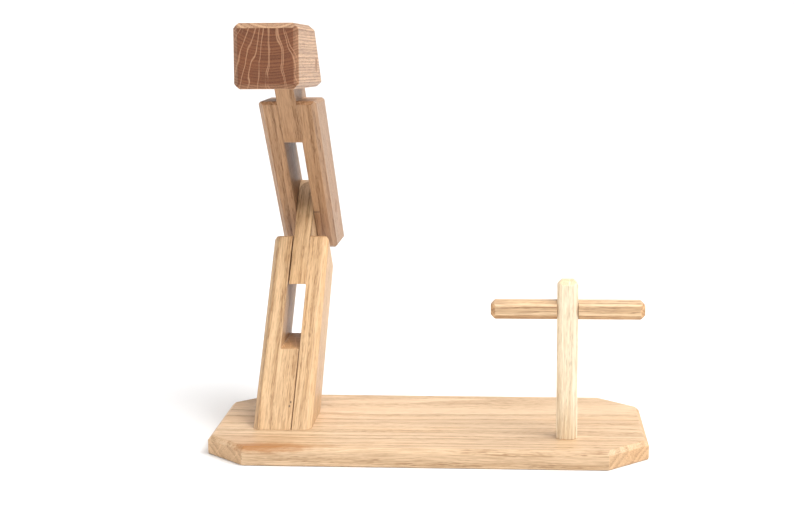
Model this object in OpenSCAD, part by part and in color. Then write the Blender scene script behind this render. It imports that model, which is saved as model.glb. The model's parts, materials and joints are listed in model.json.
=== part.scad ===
// Wooden headphone stand: a long board, a two-link folding arm with a head
// beam that the headband hangs on, and a small T-shaped cable hook.
// Millimetres, +Z up, origin at the middle of the board's underside.
// The arm folds in the YZ plane and leans over the board towards -Y.

/* [Board] */
// Length of the board along X
board_l = 278; // [240:1:320]
// Width of the board along Y
board_w = 140; // [130:1:170]
// Thickness of the board
board_t = 12; // [11:0.5:16]
// Length cut off each corner
corner_clip = 26; // [10:1:34]
// Chamfer along the upper edges
top_chamfer = 2.8; // [1:0.1:4]
// Chamfer along the lower edges
bottom_chamfer = 0.8; // [0.4:0.1:1.5]

/* [Arm] */
// Thickness of one of the three layers that a link is made of
layer_t = 12.7; // [11:0.1:15]
// Depth of a link, from its front face to its back face
link_d = 38.1; // [34:0.1:42]
// Lean of both links from the vertical
lean = 45; // [42:0.5:46]
// X position of the arm's middle plane
arm_x = -94; // [-105:1:-60]
// Y position of the lower link's front edge on the board
foot_y = -29; // [-40:1:-15]
// Height of the lower link's front shoulder corner
shoulder_z = 124; // [115:1:135]
// Distance from the shoulder to the elbow pin along the lower link
elbow_reach = 38.6; // [36:0.1:42]
// Chamfer along the outer edges of the links
link_chamfer = 3.2; // [1.5:0.1:4]
// Chamfer on the corners of the link ends
end_chamfer = 3.4; // [1.5:0.1:4]

/* [Windows] */
// Height of the lower window's sill
sill_z = 55.7; // [48:0.1:62]
// Height of the lower window's lintel
lintel_z = 93; // [86:0.1:98]
// Height of the upper window's lintel
upper_lintel_z = 190.7; // [180:0.1:196]
// Open seam between the lower link's left layer and the tongue
tongue_seam = 0.9; // [0.3:0.05:1.2]
// Open seam between the lower link's filler and its right layer
filler_seam = 0.5; // [0.2:0.05:0.7]

/* [Upper link] */
// Height of the level bottom ends of the fork
fork_z = 107; // [104:0.5:112]
// Height of the level top ends of the outer layers
upper_top_z = 219.7; // [212:0.1:224]
// Gap on each side of a tongue inside its fork
tongue_gap = 0.3; // [0.2:0.05:0.5]

/* [Head] */
// Width and height of the head beam
head_s = 39.5; // [36:0.1:44]
// Length of the head beam along its underside
head_l = 115; // [100:1:125]
// Distance from the beam's front end to the head pin
head_reach = 84.4; // [75:0.1:88]
// Height of the head pin
head_pin_z = 243.4; // [238:0.1:248]
// Height of the head pin above the beam's underside
head_pin_up = 14.5; // [13:0.1:18]
// How far the beam's front end is tipped up
head_tip = 2; // [0:0.5:6]
// Chamfer along the beam's edges
head_chamfer = 3.2; // [1.5:0.1:5]

/* [Pins and dowels] */
// Diameter of the two hinge pins
pin_d = 9.5; // [8:0.1:11]
// Radial clearance of a hinge pin in its tongue
pin_clearance = 0.05; // [0.02:0.01:0.1]
// Diameter of the hidden dowels
dowel_d = 8; // [6:0.5:10]
// Length of the hidden dowels
dowel_l = 28; // [20:0.5:30]

/* [Cable hook] */
// X position of the hook post
hook_x = 88; // [60:1:100]
// Y position of the hook post's middle
hook_y = -36.7; // [-45:0.1:20]
// Width of the hook post across its flats
hook_s = 13; // [11:0.1:16]
// Height of the hook post's top
hook_top_z = 112.6; // [100:0.1:130]
// Length of the crossbar
bar_l = 95.4; // [80:0.1:120]
// Width of the crossbar across its flats
bar_s = 11.7; // [10:0.1:12.5]
// Height of the crossbar's middle
bar_z = 93.6; // [80:0.1:98]
// Chamfer along the edges of the post and the crossbar
hook_chamfer = 2.9; // [1:0.1:3.4]

/* [Screws] */
// Diameter of the wood screws
screw_d = 4; // [3.5:0.1:4.5]
// Diameter of a screw's countersunk head
screw_head_d = 8.2; // [7:0.1:9]
// Length of the two screws that hold the arm
arm_screw_l = 30; // [24:1:32]
// Length of the screw that holds the hook post
hook_screw_l = 36; // [28:1:50]

/* [Hidden] */
$fn = 96;

oak = "burlywood";
warm_oak = "peru";
steel = "silver";
half_d = link_d / 2;
link_w = 3 * layer_t;
foot_l = link_d / cos(lean);
far = 400;
// Extra depth that a cutting shape has past the face it cuts.
over = 1;
// Play of a glued dowel or a screw in its hole, on the radius.
snug = 0.03;

// Elbow pin, as [y, z]
elbow = [
    foot_y + (shoulder_z - board_t) * tan(lean) + half_d * cos(lean) + elbow_reach * sin(lean),
    shoulder_z - half_d * sin(lean) + elbow_reach * cos(lean)
];
// Head pin, as [y, z], on the upper link's centre line
head_pivot = [elbow[0] - (head_pin_z - elbow[1]) * tan(lean), head_pin_z];

// The tongue is glued to the right layer. The fork around it keeps a gap on
// both sides, which shifts the upper link and the head sideways by one gap.
tongue_x = [-layer_t / 2 + tongue_seam, layer_t / 2];
fork_x = [tongue_x[0] - tongue_gap, tongue_x[1] + tongue_gap];
upper_mid_x = (fork_x[0] + fork_x[1]) / 2;

// Point on the lower link: s along it from the elbow, q from its centre
// line towards the back.
function lower_point(s, q) = [
    elbow[0] + s * sin(lean) + q * cos(lean),
    elbow[1] + s * cos(lean) - q * sin(lean)
];

// Point on the upper link, with the same meaning of s and q.
function upper_point(s, q) = [
    elbow[0] - s * sin(lean) + q * cos(lean),
    elbow[1] + s * cos(lean) + q * sin(lean)
];

// Point where a line along a link, q from its centre line, is at height z.
function lower_at(q, z) = lower_point((z - elbow[1] + q * sin(lean)) / cos(lean), q);
function upper_at(q, z) = upper_point((z - elbow[1] - q * sin(lean)) / cos(lean), q);

// How far the screw heads lie inside the board's underside.
sink = 0.5;
// Places of the arm's two screws along the foot, as shares of its length
foot_shares = [0.60, 0.72];
screw_spots = [
    [arm_x - layer_t / 2, foot_y + foot_shares[0] * foot_l],
    [arm_x + layer_t, foot_y + foot_shares[1] * foot_l]
];
// The two dowels that tie the halves of the lower link together: one in the
// foot below the sill, one between the lintel and the shoulder.
shoulder_mid = lower_point(-elbow_reach, 0);
dowel_spots = [
    lower_at(0, (board_t + sill_z) / 2),
    lower_at(0, (lintel_z + shoulder_mid[1]) / 2)
];
// The dowel that ties the upper link's left layer to its neck
upper_dowel_spot = upper_at(0, (upper_lintel_z + upper_top_z) / 2);

// The post and the crossbar are each notched and cross flush at the back
// of the post.
hook_back = hook_y + hook_s / 2;
lap_y = hook_back - bar_s / 2;

// Square with its four corners cut off, centred.
module eased_square(w, h, c) {
    x = w / 2;
    y = h / 2;
    polygon([
        [-x + c, -y], [x - c, -y], [x, -y + c], [x, y - c],
        [x - c, y], [-x + c, y], [-x, y - c], [-x, -y + c]
    ]);
}

// Flat plate with a side outline in Y and Z, from x0 to x1.
module side_plate(points, x0, x1) {
    translate([x0, 0, 0])
        rotate([90, 0, 90])
            linear_extrude(x1 - x0) polygon(points);
}

// Straight hole along X at a [y, z] point.
module cross_hole(at, r, x0, x1) {
    translate([x0, at[0], at[1]])
        rotate([0, 90, 0]) cylinder(h = x1 - x0, r = r);
}

// Bar with an eased square section that leans by an angle about X and
// passes through the elbow.
module leaning_bar(angle, mid_x) {
    translate([mid_x, elbow[0], elbow[1]])
        rotate([angle, 0, 0])
            linear_extrude(far, center = true)
                eased_square(link_w, link_d, link_chamfer);
}

// Wood screw standing on its head, with a cross recess.
module wood_screw(length) {
    head_h = (screw_head_d - screw_d) / 2;
    tip_h = 6;
    recess_w = 1.2;
    recess_l = 4.6;
    recess_h = 1.6;
    difference() {
        union() {
            cylinder(h = head_h, d1 = screw_head_d, d2 = screw_d);
            cylinder(h = length - tip_h, d = screw_d);
            translate([0, 0, length - tip_h])
                cylinder(h = tip_h, d1 = screw_d, d2 = 0.6);
        }
        for (turn = [0, 90])
            rotate(turn)
                translate([-recess_l / 2, -recess_w / 2, -over])
                    cube([recess_l, recess_w, recess_h + over]);
    }
}

// Hole for the same screw: a countersink, then a pilot hole.
module screw_hole(length) {
    head_h = (screw_head_d - screw_d) / 2;
    translate([0, 0, -over])
        cylinder(h = over + sink, d = screw_head_d + 2 * snug);
    translate([0, 0, sink])
        cylinder(h = head_h, d1 = screw_head_d + 2 * snug, d2 = screw_d + 2 * snug);
    cylinder(h = length + sink + over, r = screw_d / 2 + snug);
}

module at_screws() {
    for (spot = screw_spots)
        translate([spot[0], spot[1], 0]) children();
}

// Board outline from above.
module board_outline() {
    eased_square(board_l, board_w, corner_clip);
}

// Wedge that cuts a chamfer along one board edge: distance of the edge from
// the middle, its direction, its height and the side that it faces.
module edge_wedge(distance, direction, height, size, up) {
    rotate(direction)
        translate([distance, 0, height])
            mirror([0, 0, up ? 0 : 1])
                rotate([90, 0, 0])
                    linear_extrude(far, center = true)
                        polygon([[over, -size - over], [over, over], [-size - over, over]]);
}

module board_wedges(height, size, up) {
    clip_distance = (board_l + board_w) / 2 / sqrt(2) - corner_clip / sqrt(2);
    for (turn = [0, 180]) {
        edge_wedge(board_l / 2, turn, height, size, up);
        edge_wedge(board_w / 2, turn + 90, height, size, up);
    }
    for (turn = [45, 135, 225, 315])
        edge_wedge(clip_distance, turn, height, size, up);
}

module base_board() {
    color(oak)
    difference() {
        linear_extrude(board_t) board_outline();
        board_wedges(board_t, top_chamfer, true);
        board_wedges(0, bottom_chamfer, false);
        at_screws() screw_hole(arm_screw_l);
        translate([hook_x, hook_y, 0]) screw_hole(hook_screw_l);
    }
}

// Outer shape of the lower link: side outline, chamfered long edges and
// chamfered corners at the shoulder.
module lower_envelope() {
    e = end_chamfer;
    s = -elbow_reach;
    intersection() {
        side_plate([
            [foot_y, board_t], [foot_y + foot_l, board_t],
            lower_point(s - e, half_d), lower_point(s, half_d - e),
            lower_point(s, -half_d + e), lower_point(s - e, -half_d)
        ], arm_x - link_w, arm_x + link_w);
        leaning_bar(-lean, arm_x);
        translate([arm_x, elbow[0], elbow[1]])
            rotate([-lean, 0, 0])
                rotate([90, 0, 0])
                    linear_extrude(far, center = true)
                        translate([0, s - far / 2])
                            eased_square(link_w, far, e);
    }
}

// Box that keeps one layer of a link, between two X positions.
module layer(x0, x1) {
    translate([x0, -far, -far]) cube([x1 - x0, 2 * far, 2 * far]);
}

module lower_holes() {
    at_screws() screw_hole(arm_screw_l);
    for (spot = dowel_spots)
        cross_hole(spot, dowel_d / 2 + snug, arm_x - dowel_l / 2, arm_x + dowel_l / 2);
}

module lower_left_half() {
    color(oak)
    difference() {
        intersection() {
            lower_envelope();
            union() {
                layer(arm_x - link_w, arm_x - layer_t / 2);
                intersection() {
                    layer(arm_x - layer_t / 2 - over, arm_x + layer_t / 2 - filler_seam);
                    translate([-far, -far, -over]) cube([2 * far, 2 * far, sill_z + over]);
                }
            }
        }
        lower_holes();
    }
}

// Tongue of a link: straight sides down to a level lintel, round end.
module lower_tongue() {
    side_plate([
        lower_at(-half_d, lintel_z), lower_at(half_d, lintel_z),
        lower_point(0, half_d), lower_point(0, -half_d)
    ], arm_x + tongue_x[0], arm_x + tongue_x[1]);
    cross_hole(elbow, half_d, arm_x + tongue_x[0], arm_x + tongue_x[1]);
}

module lower_right_half() {
    color(oak)
    difference() {
        union() {
            intersection() {
                lower_envelope();
                layer(arm_x + layer_t / 2, arm_x + link_w);
            }
            lower_tongue();
        }
        cross_hole(elbow, pin_d / 2 + pin_clearance, arm_x - link_w, arm_x + link_w);
        lower_holes();
    }
}

module lower_dowels() {
    color(oak)
    for (spot = dowel_spots)
        cross_hole(spot, dowel_d / 2, arm_x - dowel_l / 2 + over / 2, arm_x + dowel_l / 2 - over / 2);
}

// Outer shape of the upper link's side layers, with level ends.
module upper_envelope() {
    e = end_chamfer;
    front_top = upper_at(-half_d, upper_top_z);
    back_top = upper_at(half_d, upper_top_z);
    front_low = upper_at(-half_d, fork_z);
    back_low = upper_at(half_d, fork_z);
    intersection() {
        side_plate([
            front_top + [e, 0], front_top + e * [sin(lean), -cos(lean)],
            front_low + e * [-sin(lean), cos(lean)], front_low + [e, 0],
            back_low - [e, 0], back_low + e * [-sin(lean), cos(lean)],
            back_top + e * [sin(lean), -cos(lean)], back_top - [e, 0]
        ], arm_x - link_w, arm_x + link_w);
        leaning_bar(lean, arm_x + upper_mid_x);
        translate([arm_x + upper_mid_x, 0, (fork_z + upper_top_z) / 2])
            rotate([90, 0, 0])
                linear_extrude(2 * far, center = true)
                    eased_square(link_w, upper_top_z - fork_z, e / 2);
    }
}

module upper_holes() {
    cross_hole(elbow, pin_d / 2 + snug, arm_x - link_w, arm_x + link_w);
    cross_hole(upper_dowel_spot, dowel_d / 2 + snug,
        arm_x + upper_mid_x - dowel_l / 2, arm_x + upper_mid_x + dowel_l / 2);
}

module upper_left_layer() {
    color(warm_oak)
    difference() {
        intersection() {
            upper_envelope();
            layer(arm_x - link_w, arm_x + fork_x[0]);
        }
        upper_holes();
    }
}

module neck() {
    x0 = arm_x + fork_x[0];
    x1 = arm_x + fork_x[1];
    side_plate([
        upper_at(-half_d, upper_lintel_z), upper_at(half_d, upper_lintel_z),
        head_pivot + half_d * [cos(lean), sin(lean)],
        head_pivot - half_d * [cos(lean), sin(lean)]
    ], x0, x1);
    cross_hole(head_pivot, half_d, x0, x1);
}

module upper_right_half() {
    color(warm_oak)
    difference() {
        union() {
            intersection() {
                upper_envelope();
                layer(arm_x + fork_x[1], arm_x + link_w);
            }
            neck();
        }
        upper_holes();
        cross_hole(head_pivot, pin_d / 2 + pin_clearance, arm_x - link_w, arm_x + link_w);
    }
}

module upper_dowel() {
    color(oak)
    cross_hole(upper_dowel_spot, dowel_d / 2,
        arm_x + upper_mid_x - dowel_l / 2 + over / 2, arm_x + upper_mid_x + dowel_l / 2 - over / 2);
}

module elbow_pin() {
    color(oak)
    cross_hole(elbow, pin_d / 2, arm_x + upper_mid_x - link_w / 2, arm_x + upper_mid_x + link_w / 2);
}

// Head beam in its own frame: pin at the origin, front end towards -Y.
module level_beam() {
    c = head_chamfer;
    y0 = -head_reach;
    y1 = head_l - head_reach;
    z0 = -head_pin_up;
    z1 = head_s - head_pin_up;
    // Chamfer measured along Y and Z on the mitred back end.
    m = c / sqrt(2);
    slot_y = -half_d - 2 * tongue_gap;
    slot_w = fork_x[1] - fork_x[0] + 2 * tongue_gap;
    difference() {
        intersection() {
            side_plate([
                [y0 + c, z0], [y1 - 2 * m, z0], [y1 - m, z0 + m],
                [y1 - head_s + m, z1 - m], [y1 - head_s - c, z1],
                [y0 + c, z1], [y0, z1 - c], [y0, z0 + c]
            ], -head_s, head_s);
            rotate([90, 0, 0])
                linear_extrude(far, center = true)
                    translate([0, (z0 + z1) / 2]) eased_square(head_s, head_s, c);
            translate([0, (y0 + y1) / 2, 0])
                linear_extrude(far, center = true)
                    eased_square(head_s, y1 - y0, c);
        }
        translate([-slot_w / 2, slot_y, -far / 2]) cube([slot_w, far, far]);
        cross_hole([0, 0], pin_d / 2 + snug, -head_s, head_s);
    }
}

module head_beam() {
    color(warm_oak)
    translate([arm_x + upper_mid_x, head_pivot[0], head_pivot[1]])
        rotate([-head_tip, 0, 0]) level_beam();
}

module head_pin() {
    color(oak)
    cross_hole(head_pivot, pin_d / 2, arm_x + upper_mid_x - head_s / 2, arm_x + upper_mid_x + head_s / 2);
}

module eased_bar(length, s) {
    c = hook_chamfer;
    intersection() {
        linear_extrude(length) eased_square(s, s, c);
        rotate([90, 0, 0])
            linear_extrude(far, center = true)
                translate([0, length / 2]) eased_square(s, length, c);
        rotate([90, 0, 90])
            linear_extrude(far, center = true)
                translate([0, length / 2]) eased_square(s, length, c);
    }
}

module hook_post() {
    // The bar starts below the board's top, so only its upper end is eased.
    buried = 6;
    color(oak)
    difference() {
        intersection() {
            translate([hook_x, hook_y, board_t - buried])
                eased_bar(hook_top_z - board_t + buried, hook_s);
            translate([-far, -far, board_t]) cube(2 * far);
        }
        translate([hook_x - far / 2, lap_y, bar_z - bar_s / 2 - snug])
            cube([far, far, bar_s + 2 * snug]);
        translate([hook_x, hook_y, 0]) screw_hole(hook_screw_l);
    }
}

module hook_bar() {
    color(oak)
    difference() {
        translate([hook_x - bar_l / 2, hook_back - bar_s / 2, bar_z])
            rotate([0, 90, 0]) eased_bar(bar_l, bar_s);
        translate([hook_x - hook_s / 2 - snug, lap_y - far, bar_z - far / 2])
            cube([hook_s + 2 * snug, far, far]);
    }
}

module arm_screws() {
    color(steel)
    at_screws() translate([0, 0, sink]) wood_screw(arm_screw_l);
}

module hook_screw() {
    color(steel)
    translate([hook_x, hook_y, sink]) wood_screw(hook_screw_l);
}

base_board();
lower_left_half();
lower_right_half();
lower_dowels();
elbow_pin();
upper_left_layer();
upper_right_half();
upper_dowel();
head_beam();
head_pin();
hook_post();
hook_bar();
arm_screws();
hook_screw();
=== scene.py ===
import json
import math

import bmesh
import bpy
from mathutils import Matrix, Vector

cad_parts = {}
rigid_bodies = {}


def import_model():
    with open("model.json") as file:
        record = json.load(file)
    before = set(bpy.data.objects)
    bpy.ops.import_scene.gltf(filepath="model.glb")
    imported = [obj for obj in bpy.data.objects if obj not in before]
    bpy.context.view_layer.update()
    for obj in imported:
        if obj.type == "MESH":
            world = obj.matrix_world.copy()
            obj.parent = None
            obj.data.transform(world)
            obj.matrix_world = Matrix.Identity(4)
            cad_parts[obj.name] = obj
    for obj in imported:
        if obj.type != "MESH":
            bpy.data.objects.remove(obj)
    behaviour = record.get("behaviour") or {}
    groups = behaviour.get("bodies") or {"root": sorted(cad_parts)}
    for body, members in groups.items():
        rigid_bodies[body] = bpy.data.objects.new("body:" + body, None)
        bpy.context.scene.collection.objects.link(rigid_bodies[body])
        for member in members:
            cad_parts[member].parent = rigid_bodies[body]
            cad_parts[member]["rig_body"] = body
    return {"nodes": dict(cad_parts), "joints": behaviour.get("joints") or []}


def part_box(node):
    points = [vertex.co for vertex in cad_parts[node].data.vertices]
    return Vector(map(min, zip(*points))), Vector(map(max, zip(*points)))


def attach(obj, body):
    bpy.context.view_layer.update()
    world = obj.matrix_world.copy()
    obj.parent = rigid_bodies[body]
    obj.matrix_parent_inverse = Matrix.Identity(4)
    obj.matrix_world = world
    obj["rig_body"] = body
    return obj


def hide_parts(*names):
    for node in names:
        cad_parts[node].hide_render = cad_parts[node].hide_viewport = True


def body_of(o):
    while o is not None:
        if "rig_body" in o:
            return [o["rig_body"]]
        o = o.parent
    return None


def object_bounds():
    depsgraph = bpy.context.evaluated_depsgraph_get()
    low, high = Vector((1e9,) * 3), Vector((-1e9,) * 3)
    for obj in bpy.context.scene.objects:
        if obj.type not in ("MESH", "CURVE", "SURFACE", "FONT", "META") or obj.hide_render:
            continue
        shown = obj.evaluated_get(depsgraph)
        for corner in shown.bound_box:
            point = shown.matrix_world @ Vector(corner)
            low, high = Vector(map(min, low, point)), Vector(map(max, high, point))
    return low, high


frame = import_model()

CAD_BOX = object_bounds()
MM = 0.001


# ---------------------------------------------------------------- node graph helper

class Net:
    """A material's node tree with short calls for the maths in it."""

    def __init__(self, name):
        self.material = bpy.data.materials.new(name)
        self.material.use_nodes = True
        self.tree = self.material.node_tree
        self.tree.nodes.clear()

    def node(self, kind, inputs=None, **settings):
        made = self.tree.nodes.new(kind)
        for key, value in settings.items():
            setattr(made, key, value)
        for key, value in (inputs or {}).items():
            self.feed(made.inputs[key], value)
        return made

    def feed(self, socket, value):
        if isinstance(value, bpy.types.NodeSocket):
            self.tree.links.new(value, socket)
        else:
            socket.default_value = value

    def math(self, operation, a, b=0.0, clamp=False):
        made = self.node("ShaderNodeMath", operation=operation, use_clamp=clamp)
        for socket, value in zip(made.inputs, (a, b)):
            self.feed(socket, value)
        return made.outputs[0]

    def vector(self, operation, a, b=(0, 0, 0), scale=1.0):
        made = self.node("ShaderNodeVectorMath", operation=operation)
        self.feed(made.inputs[0], a)
        if operation == "SCALE":
            self.feed(made.inputs["Scale"], scale)
        else:
            self.feed(made.inputs[1], b)
        return made.outputs["Value" if operation in ("LENGTH", "DOT_PRODUCT", "DISTANCE") else "Vector"]

    def ramp(self, value, low, high, to_low=0.0, to_high=1.0):
        made = self.node("ShaderNodeMapRange", {"Value": value, "From Min": low, "From Max": high,
                                                "To Min": to_low, "To Max": to_high},
                         interpolation_type="SMOOTHSTEP", clamp=True)
        return made.outputs["Result"]

    def noise(self, vector, detail=2.0, roughness=0.5, scale=1.0, output="Fac"):
        made = self.node("ShaderNodeTexNoise", {"Vector": vector, "Scale": scale, "Detail": detail,
                                                "Roughness": roughness}, noise_dimensions="3D")
        return made.outputs[output]

    def join(self, x, y=0.0, z=0.0):
        return self.node("ShaderNodeCombineXYZ", {"X": x, "Y": y, "Z": z}).outputs[0]

    def stretch(self, vector, x, y, z):
        return self.vector("MULTIPLY", vector, (1.0 / x, 1.0 / y, 1.0 / z))

    def mix(self, factor, a, b, blend="MIX"):
        made = self.node("ShaderNodeMix", data_type="RGBA", blend_type=blend)
        self.feed(made.inputs[0], factor)
        self.feed(made.inputs[6], a)
        self.feed(made.inputs[7], b)
        return made.outputs[2]

    def show(self, shader):
        """Sends a shader to the material's output and hands back the material."""
        out = self.node("ShaderNodeOutputMaterial")
        self.feed(out.inputs["Surface"], shader.outputs["BSDF"])
        return self.material


def rgb(r, g, b):
    return (r, g, b, 1.0)


def shade(colour, red, green, blue):
    """A colour with each channel scaled, and never past white."""
    return tuple(min(1.0, c * share) for c, share in zip(colour, (red, green, blue)))


# ---------------------------------------------------------------- wood

# Sizes of the grain's features in millimetres: twice across the log, then along it.
BEND_SIZE = (46, 46, 300)
PORE_SIZE = (0.52, 0.52, 6.0)
STREAK_SIZE = (0.75, 0.75, 11)
FIBRE_SIZE = (0.55, 0.55, 26)
FIGURE_SIZE = (26, 26, 120)
FAINT_SIZE = (18, 18, 150)
RAGGED_SIZE = (1.6, 1.6, 9)
RUBBED_SIZE = (2.2, 2.2, 5)
ACROSS = (1, 1, 0)

# Ring width changes over this many millimetres, by up to this many rings.
RING_CHANGE, RING_SHIFT = 8.0, 2.4

# How far a ray keeps its course out from the pith and along the log, in
# millimetres, how far it sways, and the same two lengths for its breaks.
RAY_RUN, RAY_RISE, RAY_SWAY = 19.0, 45.0, 1.9
BREAK_RUN, BREAK_RISE = 17.0, 9.0

# How far in from an edge the pale edges, partly worn and partly painted highlight, and the dirt line reach.
EDGE_MARK_WIDTH = 0.9 * MM
RELIEF = 0.16 * MM


def wood_coordinates(net, along, across, pith, seed):
    """Millimetres in the log's own frame: Z along the grain, the pith on the Z axis."""
    along = Vector(along).normalized()
    first = (Vector(across) - along * Vector(across).dot(along)).normalized()
    second = along.cross(first)
    turn = Matrix((first, second, along))
    shift = -(turn @ (Vector(pith) / MM)) + Vector((0.0, 0.0, 900.0 * seed))
    place = net.node("ShaderNodeMapping", vector_type="POINT")
    place.inputs["Location"].default_value = shift
    place.inputs["Rotation"].default_value = turn.to_euler("XYZ")
    place.inputs["Scale"].default_value = (1 / MM, 1 / MM, 1 / MM)
    coords = net.node("ShaderNodeTexCoord")
    net.feed(place.inputs["Vector"], coords.outputs["Object"])
    ends = net.vector("DOT_PRODUCT", coords.outputs["Normal"], tuple(along))
    return place.outputs["Vector"], net.math("ABSOLUTE", ends), coords


def growth_rings(net, radius, ring):
    """Rings of uneven width: how late the wood is in its ring, and the ring's own tone."""
    uneven = net.noise(net.join(net.math("DIVIDE", radius, RING_CHANGE)), 1.0)
    count = net.math("ADD", net.math("DIVIDE", radius, ring), net.math("MULTIPLY", uneven, RING_SHIFT))
    phase = net.math("FRACT", count)
    drawn = net.node("ShaderNodeTexWhiteNoise", {"W": net.math("FLOOR", count)}, noise_dimensions="1D")
    lateness = net.math("MULTIPLY", net.ramp(phase, 0.10, 0.55), net.ramp(phase, 0.90, 1.0, 1.0, 0.0))
    return lateness, drawn.outputs["Value"]


def open_pores(net, warped, lateness):
    """Pores, long and thin along the grain, and the streaks that they run
    together in. Both are mostly in the early wood."""
    cells = net.node("ShaderNodeTexVoronoi", {"Vector": net.stretch(warped, *PORE_SIZE), "Scale": 1.0,
                                              "Randomness": 1.0}, feature="F1")
    drawn = net.node("ShaderNodeSeparateColor", {"Color": cells.outputs["Color"]}).outputs[0]
    chosen = net.ramp(drawn, 0.34, 0.60)
    hole = net.ramp(cells.outputs["Distance"], 0.18, 0.44, 1.0, 0.0)
    in_band = net.math("SUBTRACT", 1.0, net.math("MULTIPLY", lateness, 0.62))
    pore = net.math("MULTIPLY", net.math("MULTIPLY", hole, chosen), in_band)
    streak = net.noise(net.stretch(warped, *STREAK_SIZE), 2.0, 0.55)
    return pore, net.math("MULTIPLY", net.ramp(streak, 0.49, 0.63), in_band)


def pith_rays(net, warped, radius, ray_gap):
    """Thin sheets that run out from the pith, with a break here and there."""
    parts = net.node("ShaderNodeSeparateXYZ", {"Vector": warped})
    x, y, z = (parts.outputs[i] for i in range(3))
    angle = net.math("ARCTAN2", y, x)
    course = net.join(net.math("MULTIPLY", angle, ray_gap / 2.2), net.math("DIVIDE", radius, RAY_RUN),
                      net.math("DIVIDE", z, RAY_RISE))
    sway = net.math("MULTIPLY", net.noise(course, 1.5), RAY_SWAY)
    place = net.math("ADD", net.math("MULTIPLY", angle, ray_gap), sway)
    line = net.node("ShaderNodeTexVoronoi", {"W": place, "Scale": 1.0, "Randomness": 0.92},
                    voronoi_dimensions="1D", feature="F1")
    off_line = net.math("MULTIPLY", line.outputs["Distance"], net.math("DIVIDE", radius, ray_gap))
    breaks = net.join(place, net.math("DIVIDE", radius, BREAK_RUN), net.math("DIVIDE", z, BREAK_RISE))
    whole = net.ramp(net.noise(breaks, 1.0), 0.28, 0.46)
    return net.math("MULTIPLY", net.ramp(off_line, 0.08, 0.46, 1.0, 0.0), whole)


def worn_and_lit_edges(net, p):
    """Where a handled edge is pale, partly rubbed pale and partly a painted highlight, and where a thin line
    of dirt stays.
    """
    rounded = net.node("ShaderNodeBevel", {"Radius": EDGE_MARK_WIDTH}, samples=6)
    true = net.node("ShaderNodeNewGeometry")
    sharp = net.vector("DOT_PRODUCT", rounded.outputs["Normal"], true.outputs["Normal"])
    rubbed = net.ramp(net.noise(net.stretch(p, *RUBBED_SIZE), 3.0, 0.6), 0.36, 0.66)
    wear_and_highlight = net.math("MULTIPLY", net.ramp(sharp, 0.90, 0.995, 1.0, 0.0), rubbed)
    grime = net.math("MULTIPLY", net.ramp(sharp, 0.93, 0.999, 1.0, 0.0), net.math("SUBTRACT", 1.0, wear_and_highlight))
    return wear_and_highlight, grime


def less_on_ends(net, share, on_side, is_end, off_end):
    """A pattern's share of the colour, with some of it taken off on end grain."""
    return net.math("MULTIPLY", share, net.math("SUBTRACT", on_side, net.math("MULTIPLY", is_end, off_end)))


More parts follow.
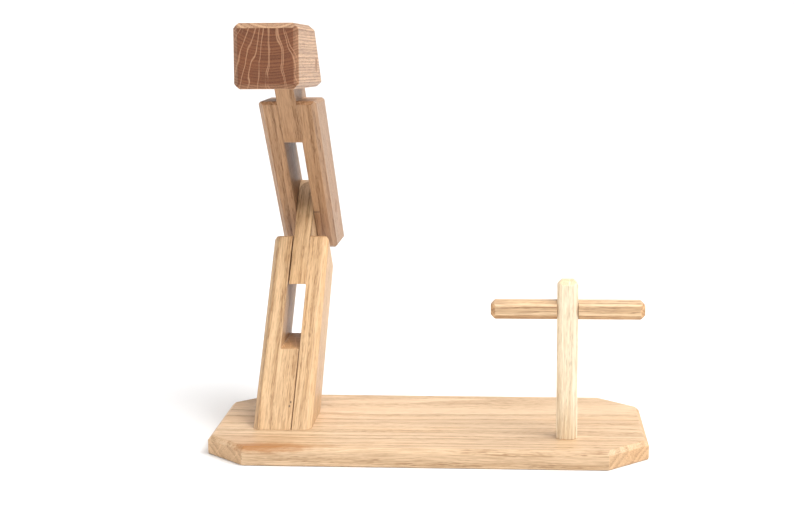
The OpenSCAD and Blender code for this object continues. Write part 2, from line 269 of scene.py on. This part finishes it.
def wood(name, along, across, pith, seed, early, late, ring=2.6, wander=5.0, end_tint=(0.62, 0.46, 0.36),
         pores=1.0, rays=1.0, ray_gap=17.0, banding=1.0, painted_lit_top_ends=False, spots=()):
    """Ring-porous hardwood: growth rings, pores, rays and fibre, all in three
    dimensions, so that end grain and side grain meet correctly at an edge."""
    net = Net(name)
    p, ends, coords = wood_coordinates(net, along, across, pith, seed)

    slow = net.noise(net.stretch(p, *BEND_SIZE), 2.0, output="Color")
    bend = net.vector("SCALE", net.vector("SUBTRACT", slow, (0.5, 0.5, 0.5)), scale=2 * wander)
    warped = net.vector("ADD", p, net.vector("MULTIPLY", bend, ACROSS))
    radius = net.vector("LENGTH", net.vector("MULTIPLY", warped, ACROSS))

    lateness, tone = growth_rings(net, radius, ring)
    pore, streak = open_pores(net, warped, lateness)
    ray = pith_rays(net, warped, radius, ray_gap)
    fibre = net.noise(net.stretch(warped, *FIBRE_SIZE), 3.0, 0.6)
    figure = net.noise(net.stretch(p, *FIGURE_SIZE), 3.0, 0.55)
    faint = net.ramp(net.noise(net.stretch(p, *FAINT_SIZE), 2.0), 0.35, 0.62)

    middle = tuple(0.35 * a + 0.65 * b for a, b in zip(early, late))
    dark = shade(early, 0.68, 0.56, 0.44)
    warm = shade(late, 0.92, 0.78, 0.60)
    pale = shade(late, 1.12, 1.12, 1.12)
    colour = net.mix(lateness, rgb(*early), rgb(*late))
    colour = net.mix(net.math("MULTIPLY", faint, 0.42 / banding, clamp=True), colour, rgb(*middle))
    colour = net.mix(net.ramp(tone, 0.2, 1.0, 0.0, 0.34 * banding), colour, rgb(*dark))
    colour = net.mix(net.ramp(figure, 0.46, 0.72, 0.0, 0.55), colour, rgb(*warm))
    colour = net.mix(net.ramp(fibre, 0.40, 0.70, 0.0, 0.45), colour, rgb(*pale))
    colour = net.mix(net.ramp(fibre, 0.54, 0.30, 0.0, 0.42), colour, rgb(*dark))

    # End grain drinks more oil, so it is darker and redder. Where the option for it is on,
    # end grain that faces up is painted lighter again, back towards the side's colour: a painted highlight
    # from the light above.
    is_end = net.ramp(ends, 0.52, 0.80)
    if painted_lit_top_ends:
        upwards = net.node("ShaderNodeSeparateXYZ", {"Vector": coords.outputs["Normal"]}).outputs["Z"]
        is_end = net.math("MULTIPLY", is_end, net.ramp(upwards, 0.30, 0.62, 1.0, 0.12))
    tinted = net.mix(1.0, colour, rgb(*end_tint), "MULTIPLY")
    colour = net.mix(is_end, colour, tinted)
    ray_pale = shade(late, *(0.55 + 0.75 * t for t in end_tint))
    ray_share = net.math("ADD", net.math("MULTIPLY", is_end, 0.60 * rays), 0.10 * rays)
    colour = net.mix(net.math("MULTIPLY", ray, ray_share), colour, rgb(*ray_pale))
    colour = net.mix(less_on_ends(net, streak, 0.70 * pores, is_end, 0.40), colour, rgb(*dark))
    pore_dark = shade(early, 0.40, 0.30, 0.22)
    colour = net.mix(less_on_ends(net, pore, 0.66 * pores, is_end, 0.30), colour, rgb(*pore_dark))

    # Stains and knots, each an ellipsoid with a ragged outline.
    ragged = net.math("MULTIPLY", net.noise(net.stretch(p, *RAGGED_SIZE), 4.0, 0.65), 1.1)
    for centre, reach, tint, strength in spots:
        away = net.vector("SUBTRACT", coords.outputs["Object"], tuple(centre))
        away = net.vector("LENGTH", net.vector("DIVIDE", away, tuple(reach)))
        patch = net.math("ADD", away, ragged)
        colour = net.mix(net.ramp(patch, 0.75, 1.50, strength, 0.0), colour, rgb(*tint))

    wear_and_highlight, grime = worn_and_lit_edges(net, p)
    # Pale edges: partly really worn, partly a painted highlight along them.
    colour = net.mix(net.math("MULTIPLY", wear_and_highlight, 0.62), colour, rgb(*pale))
    colour = net.mix(net.math("MULTIPLY", grime, 0.34), colour, rgb(*dark))

    rough = net.math("ADD", 0.40, net.math("MULTIPLY", pore, 0.30))
    rough = net.math("ADD", rough, net.math("MULTIPLY", fibre, 0.16))
    rough = net.math("ADD", rough, net.math("MULTIPLY", is_end, 0.12))

    height = net.math("MULTIPLY", pore, -1.0)
    height = net.math("ADD", height, net.math("MULTIPLY", fibre, 0.30))
    height = net.math("ADD", height, net.math("MULTIPLY", lateness, 0.22))
    height = net.math("ADD", height, net.math("MULTIPLY", wear_and_highlight, -0.30))
    bump = net.node("ShaderNodeBump", {"Height": height, "Strength": 0.55, "Distance": RELIEF})

    shader = net.node("ShaderNodeBsdfPrincipled", {"Base Color": colour, "Roughness": rough,
                                                   "Normal": bump.outputs["Normal"]})
    shader.inputs["Specular IOR Level"].default_value = 0.42
    shader.inputs["IOR"].default_value = 1.47
    shader.inputs["Coat Weight"].default_value = 0.10
    shader.inputs["Coat Roughness"].default_value = 0.32
    return net.show(shader)


def screw_metal(name):
    """Yellow-zinc steel with turning marks and small scratches."""
    net = Net(name)
    coords = net.node("ShaderNodeTexCoord")
    p = net.vector("SCALE", coords.outputs["Object"], scale=1 / MM)
    cloud = net.noise(p, 4.0, 0.6, scale=0.7)
    marks = net.noise(net.stretch(p, 0.12, 0.9, 0.9), 3.0, 0.7)
    colour = net.mix(net.ramp(cloud, 0.3, 0.7), rgb(0.50, 0.42, 0.24), rgb(0.66, 0.62, 0.50))
    colour = net.mix(net.ramp(marks, 0.58, 0.72, 0.0, 0.5), colour, rgb(0.34, 0.30, 0.24))
    rough = net.math("ADD", 0.26, net.math("MULTIPLY", marks, 0.26))
    bump = net.node("ShaderNodeBump", {"Height": marks, "Strength": 0.35, "Distance": 0.04 * MM})
    shader = net.node("ShaderNodeBsdfPrincipled", {"Base Color": colour, "Roughness": rough,
                                                   "Normal": bump.outputs["Normal"]})
    shader.inputs["Metallic"].default_value = 1.0
    return net.show(shader)


# ---------------------------------------------------------------- pieces

# Mesh points closer than the first are one point, and faces within the second are one flat.
SAME_POINT = 0.002 * MM
SAME_FLAT = math.radians(0.2)
# Edges longer than the first and sharper than the second are sanded round, with this many steps.
SANDED_LENGTH = 0.8 * MM
SANDED_ANGLE = math.radians(24)
SANDED_STEPS = 3
CREASE_ANGLE = math.radians(40)


def sanded_mesh(source, width):
    """The source's shape with its flats made whole and its edges sanded round."""
    made = bmesh.new()
    made.from_mesh(source)
    bmesh.ops.remove_doubles(made, verts=made.verts, dist=SAME_POINT)
    bmesh.ops.dissolve_limit(made, angle_limit=SAME_FLAT, use_dissolve_boundaries=False,
                             verts=made.verts, edges=made.edges, delimit=set())
    edges = [e for e in made.edges if len(e.link_faces) == 2 and e.calc_length() > SANDED_LENGTH
             and e.calc_face_angle(0.0) > SANDED_ANGLE]
    bmesh.ops.bevel(made, geom=edges, offset=width, offset_type="OFFSET", segments=SANDED_STEPS, profile=0.5,
                    affect="EDGES", clamp_overlap=True, miter_outer="ARC")
    for face in made.faces:
        face.smooth = True
    for edge in made.edges:
        edge.smooth = not (len(edge.link_faces) == 2 and edge.calc_face_angle(0.0) > CREASE_ANGLE)
    mesh = bpy.data.meshes.new(source.name + "_sanded")
    made.to_mesh(mesh)
    made.free()
    return mesh


def dress(node, material, edge=0):
    """Gives a CAD node its material. With an edge width, a copy with sanded
    edges stands for the node."""
    piece = frame["nodes"][node]
    if edge:
        body = body_of(piece)[0]
        copy = bpy.data.objects.new(node + "_sanded", sanded_mesh(piece.data, edge))
        bpy.context.scene.collection.objects.link(copy)
        normals = copy.modifiers.new("normals", "WEIGHTED_NORMAL")
        normals.mode = "FACE_AREA"
        normals.weight = 100
        normals.keep_sharp = True
        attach(copy, body)
        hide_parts(node)
        piece = copy
    piece.data.materials.clear()
    piece.data.materials.append(material)


def corner(node, x, y, z):
    """A point in a node's box, from shares of its size."""
    lo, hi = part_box(node)
    return Vector((lo.x + x * (hi.x - lo.x), lo.y + y * (hi.y - lo.y), lo.z + z * (hi.z - lo.z)))


def joint_at(name):
    return Vector(next(j["pos_m"] for j in frame["joints"] if j["name"] == name))


# Early and late wood of the boards that the pieces were cut from, as linear colours.
PALE_EARLY, PALE_LATE = (0.52, 0.345, 0.195), (0.74, 0.530, 0.335)
FOOT_EARLY, FOOT_LATE = (0.46, 0.280, 0.140), (0.71, 0.480, 0.272)
LINK_EARLY, LINK_LATE = (0.27, 0.148, 0.074), (0.46, 0.276, 0.152)
HEAD_EARLY, HEAD_LATE = (0.28, 0.140, 0.068), (0.60, 0.380, 0.224)
POST_EARLY, POST_LATE = (0.76, 0.600, 0.400), (0.93, 0.820, 0.640)
BAR_EARLY, BAR_LATE = (0.42, 0.245, 0.125), (0.78, 0.560, 0.340)
TORN = (0.40, 0.175, 0.055)
KNOT = (0.05, 0.030, 0.020)

# What end grain multiplies its colour by.
FOOT_END, LINK_END, PIN_END = (0.80, 0.66, 0.52), (0.94, 0.86, 0.78), (0.60, 0.46, 0.36)

# How far the edges are sanded round, on the thick pieces, the links and the hook.
THICK_EDGE, LINK_EDGE, HOOK_EDGE = 0.5 * MM, 0.4 * MM, 0.35 * MM

ELBOW = joint_at("elbow")
PIVOT = joint_at("head_tilt")
X_AXIS, Y_AXIS = (1, 0, 0), (0, 1, 0)
LOWER_GRAIN = Vector((0, 1, 1)).normalized()
UPPER_GRAIN = PIVOT - ELBOW
UPPER_GRAIN.x = 0


def dress_board():
    middle = corner("base_board", 0.5, 0.5, 0.5)
    edge = corner("base_board", 0.140, 0.024, 0.97)
    look = wood("board_oak", (1, 0.012, 0.012), Y_AXIS, middle + Vector((0, 0.050, -0.110)), 1,
                PALE_EARLY, PALE_LATE, ring=5.2, wander=8.0, rays=0.5, pores=0.85,
                end_tint=(0.88, 0.78, 0.66), banding=0.9,
                spots=[(edge + Vector((-0.004, 0.014, 0.001)), (0.052, 0.0220, 0.006), TORN, 0.28),
                       (edge + Vector((0.020, 0.002, 0.000)), (0.040, 0.0060, 0.004), TORN, 0.40),
                       (edge, (0.038, 0.0120, 0.0058), TORN, 0.95)])
    dress("base_board", look, THICK_EDGE)


def front_of_foot(x, up):
    """A point on the lower link's front face, up from the board along it."""
    lo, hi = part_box("lower_left_half")
    return Vector((x, lo.y + up * LOWER_GRAIN.y, lo.z + up * LOWER_GRAIN.z))


def dress_lower_link():
    foot = corner("lower_left_half", 0.4, 0.3, 0.3)
    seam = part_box("lower_right_half")[0].x
    nick = front_of_foot(seam + 9.6 * MM, 21 * MM)
    nicks = [(nick, (0.0009, 0.0016, 0.0016), KNOT, 0.9),
             (nick + Vector((-0.0006, -0.0022, -0.0022)), (0.0008, 0.0013, 0.0013), KNOT, 0.8)]
    left = wood("lower_left_oak", LOWER_GRAIN, X_AXIS, foot + Vector((0.018, -0.045, 0.055)), 2,
                FOOT_EARLY, FOOT_LATE, ring=3.4, wander=4.0, end_tint=FOOT_END, banding=0.7,
                spots=nicks)
    slanted = LOWER_GRAIN + Vector((0.02, 0, 0))
    right = wood("lower_right_oak", slanted, X_AXIS, foot + Vector((-0.035, 0.045, -0.05)), 3,
                 FOOT_EARLY, FOOT_LATE, ring=2.8, wander=3.5, end_tint=FOOT_END, banding=0.8)
    dress("lower_left_half", left, LINK_EDGE)
    dress("lower_right_half", right, LINK_EDGE)


def dress_upper_link():
    middle = corner("upper_right_half", 0.5, 0.5, 0.5)
    knot = ELBOW + Vector((8.2 * MM, -26 * MM, -0.9 * MM))
    left = wood("upper_left_oak", UPPER_GRAIN, X_AXIS, middle + Vector((0.03, -0.05, -0.04)), 4,
                LINK_EARLY, LINK_LATE, ring=3.0, wander=3.5, end_tint=LINK_END)
    right = wood("upper_right_oak", UPPER_GRAIN, X_AXIS, middle + Vector((-0.03, 0.05, 0.05)), 5,
                 LINK_EARLY, LINK_LATE, ring=2.7, wander=4.0, end_tint=LINK_END,
                 spots=[(knot, (0.0035, 0.0016, 0.0016), KNOT, 0.7)])
    dress("upper_left_layer", left, LINK_EDGE)
    dress("upper_right_half", right, LINK_EDGE)


def dress_head():
    top = corner("head_beam", 0.56, 0.0, 1.0)
    # The head's end grain is tinted far darker than the other pieces': partly its own end-grain colour,
    # partly painted shade over its front face. Its end grain that faces up carries a painted highlight
    # instead.
    look = wood("head_oak", (0, 1, -0.035), X_AXIS, top + Vector((0, 0, 0.026)), 6,
                HEAD_EARLY, HEAD_LATE, ring=1.9, wander=2.4, end_tint=(0.37, 0.205, 0.130), pores=0.9,
                ray_gap=12.0, banding=1.4, painted_lit_top_ends=True)
    dress("head_beam", look, THICK_EDGE)


def dress_hook():
    post = corner("hook_post", 0.5, 0.5, 0.5)
    upright = wood("post_oak", (0.01, 0, 1), X_AXIS, post + Vector((0.02, 0.07, 0)), 7,
                   POST_EARLY, POST_LATE, ring=3.2, wander=3.0, pores=0.6,
                   end_tint=(0.86, 0.76, 0.62), banding=0.6)
    bar = corner("hook_bar", 0.5, 0.5, 0.5)
    level = wood("bar_oak", (1, 0.01, 0), Y_AXIS, bar + Vector((0, 0.02, 0.035)), 8, BAR_EARLY, BAR_LATE,
                 ring=2.6, wander=3.0, pores=0.8, end_tint=(0.72, 0.56, 0.40))
    dress("hook_post", upright, HOOK_EDGE)
    dress("hook_bar", level, HOOK_EDGE)


def dress_small_parts():
    pin = wood("pin_oak", X_AXIS, Y_AXIS, ELBOW + Vector((0, 0.012, 0.015)), 9,
               LINK_EARLY, LINK_LATE, ring=1.6, wander=1.5, end_tint=PIN_END)
    head_pin = wood("head_pin_oak", X_AXIS, Y_AXIS, PIVOT + Vector((0, 0.014, -0.012)), 10,
                    LINK_EARLY, LINK_LATE, ring=1.6, wander=1.5, end_tint=PIN_END)
    dowel = wood("dowel_oak", X_AXIS, Y_AXIS, ELBOW + Vector((0, 0.02, 0.02)), 11,
                 FOOT_EARLY, FOOT_LATE, ring=1.8)
    metal = screw_metal("screw_zinc")
    dress("elbow_pin", pin)
    dress("head_pin", head_pin)
    for node in ("lower_dowels", "upper_dowel"):
        dress(node, dowel)
    for node in ("arm_screws", "hook_screw"):
        dress(node, metal)


# ---------------------------------------------------------------- stage

def floor_look():
    net = Net("studio_floor")
    coords = net.node("ShaderNodeTexCoord")
    cloud = net.noise(coords.outputs["Object"], 2.0, scale=3.0)
    colour = net.mix(cloud, rgb(0.90, 0.90, 0.90), rgb(0.93, 0.93, 0.93))
    shader = net.node("ShaderNodeBsdfPrincipled", {"Base Color": colour})
    shader.inputs["Roughness"].default_value = 0.7
    shader.inputs["Specular IOR Level"].default_value = 0.1
    return net.show(shader)


def make_floor():
    """A wide disc that curves up into a low rim far away, so that no horizon shows."""
    low = CAD_BOX[0].z
    inner, flat, bend, rim = 0.6, 24.0, 6.0, 9.0
    around, steps = 64, 10
    profile = [(inner, 0.0), (flat, 0.0)]
    for i in range(1, steps + 1):
        a = math.radians(90 * i / steps)
        profile.append((flat + bend * math.sin(a), bend * (1 - math.cos(a))))
    profile.append((flat + bend, bend + rim))
    points = [(0.0, 0.0, low)]
    for r, z in profile:
        points += [(r * math.cos(t), r * math.sin(t), low + z)
                   for t in (2 * math.pi * k / around for k in range(around))]
    faces = [(0, 1 + k, 1 + (k + 1) % around) for k in range(around)]
    for j in range(len(profile) - 1):
        for k in range(around):
            a, b = 1 + j * around + k, 1 + j * around + (k + 1) % around
            faces.append((a, a + around, b + around, b))
    mesh = bpy.data.meshes.new("floor")
    mesh.from_pydata(points, [], faces)
    for face in mesh.polygons:
        face.use_smooth = True
    floor = bpy.data.objects.new("floor", mesh)
    bpy.context.scene.collection.objects.link(floor)
    mesh.materials.append(floor_look())


def aim(thing, target):
    thing.rotation_mode = "QUATERNION"
    thing.rotation_quaternion = (Vector(target) - thing.location).to_track_quat("-Z", "Y")


def add_light(name, kind, power, location, target):
    data = bpy.data.lights.new(name, kind)
    data.energy = power
    light = bpy.data.objects.new(name, data)
    bpy.context.scene.collection.objects.link(light)
    light.location = location
    aim(light, target)
    return data


def soft_light(name, power, location, target, side):
    panel = add_light(name, "AREA", power, location, target)
    panel.shape = "RECTANGLE"
    panel.size = panel.size_y = side


def make_light():
    middle = (CAD_BOX[0] + CAD_BOX[1]) / 2
    hook_end = middle + Vector((0.14, 0.0, -0.10))
    # A wide, soft key from above and to the right, which also reaches the
    # floor far away.
    key = add_light("key", "SUN", 2.6, middle + Vector((0.70, -0.10, 1.6)), middle)
    key.angle = math.radians(62)
    soft_light("front_fill", 3, middle + Vector((-0.6, -1.6, 0.75)), middle, 1.1)
    soft_light("right_fill", 3.4, middle + Vector((0.50, -0.30, 0.65)), hook_end, 0.6)
    world = bpy.data.worlds.new("studio")
    bpy.context.scene.world = world
    world.use_nodes = True
    world.node_tree.nodes["Background"].inputs["Color"].default_value = (1.0, 1.0, 1.0, 1.0)
    world.node_tree.nodes["Background"].inputs["Strength"].default_value = 0.46


def make_camera():
    """The photograph's viewing angle: 9.2 degrees down, 4.5 degrees to the left."""
    pitch, yaw, roll = math.radians(9.199), math.radians(4.456), math.radians(-0.451)
    ahead = Vector((-math.sin(yaw) * math.cos(pitch), math.cos(yaw) * math.cos(pitch), -math.sin(pitch)))
    level = Vector((math.cos(yaw), math.sin(yaw), 0.0))
    over = level.cross(ahead)
    right = math.cos(roll) * level + math.sin(roll) * over
    up = -math.sin(roll) * level + math.cos(roll) * over
    data = bpy.data.cameras.new("camera")
    data.sensor_width = 36.0
    data.lens = 72.54
    data.clip_start, data.clip_end = 0.05, 200.0
    camera = bpy.data.objects.new("camera", data)
    bpy.context.scene.collection.objects.link(camera)
    camera.rotation_mode = "QUATERNION"
    camera.location = (0.0584, -1.0181, 0.2808)
    camera.rotation_quaternion = Matrix((right, up, -ahead)).transposed().to_quaternion()
    bpy.context.scene.camera = camera


dress_board()
dress_lower_link()
dress_upper_link()
dress_head()
dress_hook()
dress_small_parts()
make_floor()
make_light()
make_camera()
bpy.context.scene.view_settings.view_transform = "Standard"
